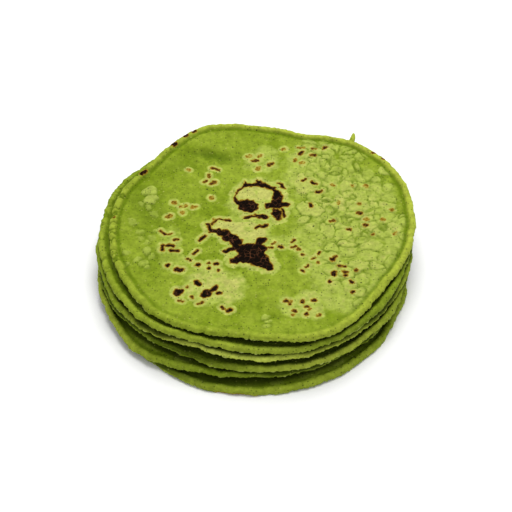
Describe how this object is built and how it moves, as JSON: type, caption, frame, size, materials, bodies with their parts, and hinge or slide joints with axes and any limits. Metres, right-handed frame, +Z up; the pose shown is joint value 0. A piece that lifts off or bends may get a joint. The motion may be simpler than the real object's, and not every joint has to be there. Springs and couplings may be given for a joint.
{
  "type": "corn tortilla stack",
  "caption": "Low round stack of thick green corn tortillas with beaded rims, scorched on top; flat bread to serve or fill.",
  "frame": {"origin": "middle of the stack's bounding box in plan, on the surface the stack rests on", "axes": "+Z up through the stack; the scorched face of the top tortilla faces +Z; -Y is the front"},
  "size_m": [0.1542, 0.16, 0.0261],
  "materials": {
    "tortilla_side": "matt green corn dough, slightly rough, with fine dark specks",
    "tortilla_top": "matt green corn dough with paler blisters and small dark scorch marks"
  },
  "bodies": {
    "root": {"tortilla_1": "tortilla_side", "tortilla_2": "tortilla_side", "tortilla_3": "tortilla_side", "tortilla_4": "tortilla_side", "tortilla_5": "tortilla_side", "tortilla_6": "tortilla_top"}
  },
  "joints": []
}
